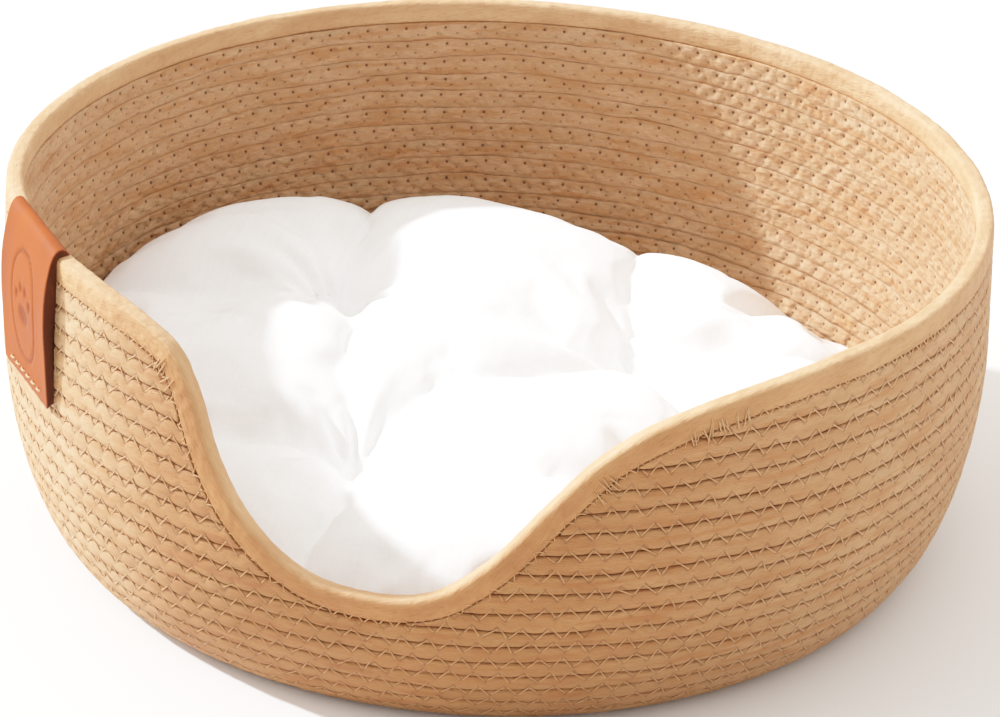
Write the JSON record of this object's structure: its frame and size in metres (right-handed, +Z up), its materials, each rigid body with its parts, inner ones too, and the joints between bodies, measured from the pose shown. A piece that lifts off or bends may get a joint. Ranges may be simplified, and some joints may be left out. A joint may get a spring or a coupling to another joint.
{
  "type": "coiled rope pet bed",
  "caption": "Round pet bed of coiled, zig-zag sewn paper rope, with a cut-out entrance, a bound rim, a folded leather tag and a loose tufted cushion.",
  "frame": {"origin": "centre of the flat underside of the base, on the surface that the bed stands on", "axes": "+Z up, -Y out through the middle of the entrance, +X to the right of the entrance seen from outside"},
  "size_m": [0.406, 0.4046, 0.1588],
  "materials": {
    "paper_rope": "matte",
    "binding_rope": "satin",
    "sewing_thread": "satin",
    "tan_leather": "satin",
    "white_cotton": "matte",
    "cotton_thread": "matte",
    "fibre_filling": "matte"
  },
  "bodies": {
    "basket": {"base_coil": "paper_rope", "lower_wall_coil": "paper_rope", "wall_row_01": "paper_rope", "wall_row_02": "paper_rope", "wall_row_03": "paper_rope", "wall_row_04": "paper_rope", "wall_row_05": "paper_rope", "wall_row_06": "paper_rope", "wall_row_07": "paper_rope", "wall_row_08": "paper_rope", "wall_row_09": "paper_rope", "wall_row_10": "paper_rope", "rim_binding": "binding_rope", "leather_tag": "tan_leather", "tag_stitch": "sewing_thread"},
    "cushion": {"cushion_top_panel": "white_cotton", "cushion_filling": "fibre_filling", "cushion_bottom_panel": "white_cotton", "tuft_thread_1": "cotton_thread", "tuft_thread_2": "cotton_thread", "tuft_thread_3": "cotton_thread", "tuft_thread_4": "cotton_thread"}
  },
  "joints": [
    {"name": "cushion_lift", "type": "slide", "parent": "basket", "child": "cushion", "axis": [0, 0, 1], "range_m": [0, 0.16]}
  ]
}
